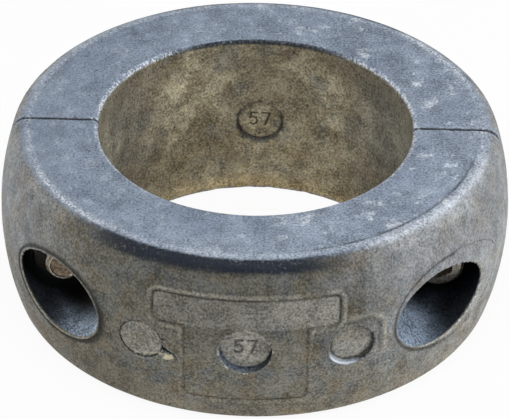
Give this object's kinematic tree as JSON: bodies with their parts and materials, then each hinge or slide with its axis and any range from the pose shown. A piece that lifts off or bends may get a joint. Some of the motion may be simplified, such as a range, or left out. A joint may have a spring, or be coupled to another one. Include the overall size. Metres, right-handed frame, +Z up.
{
  "type": "sacrificial shaft anode",
  "caption": "Barrel-sided cast zinc collar in two halves that clamp round a propeller shaft with socket head screws and nuts, and corrode in place of the shaft.",
  "frame": {"origin": "centre of the collar's lower end face, on the shaft axis", "axes": "+Z up along the shaft axis, +X to the right along the split line, +Y from the front half to the rear half"},
  "size_m": [0.0932, 0.0926, 0.034],
  "materials": {
    "zinc_casting": "dull oxidised zinc as cast",
    "screw_steel": "plain stainless steel, slightly stained"
  },
  "bodies": {
    "root": {"front_half": "zinc_casting", "rear_half": "zinc_casting", "clamp_screw_right": "screw_steel", "clamp_screw_left": "screw_steel", "clamp_nut_left": "screw_steel", "clamp_nut_right": "screw_steel"}
  },
  "joints": []
}
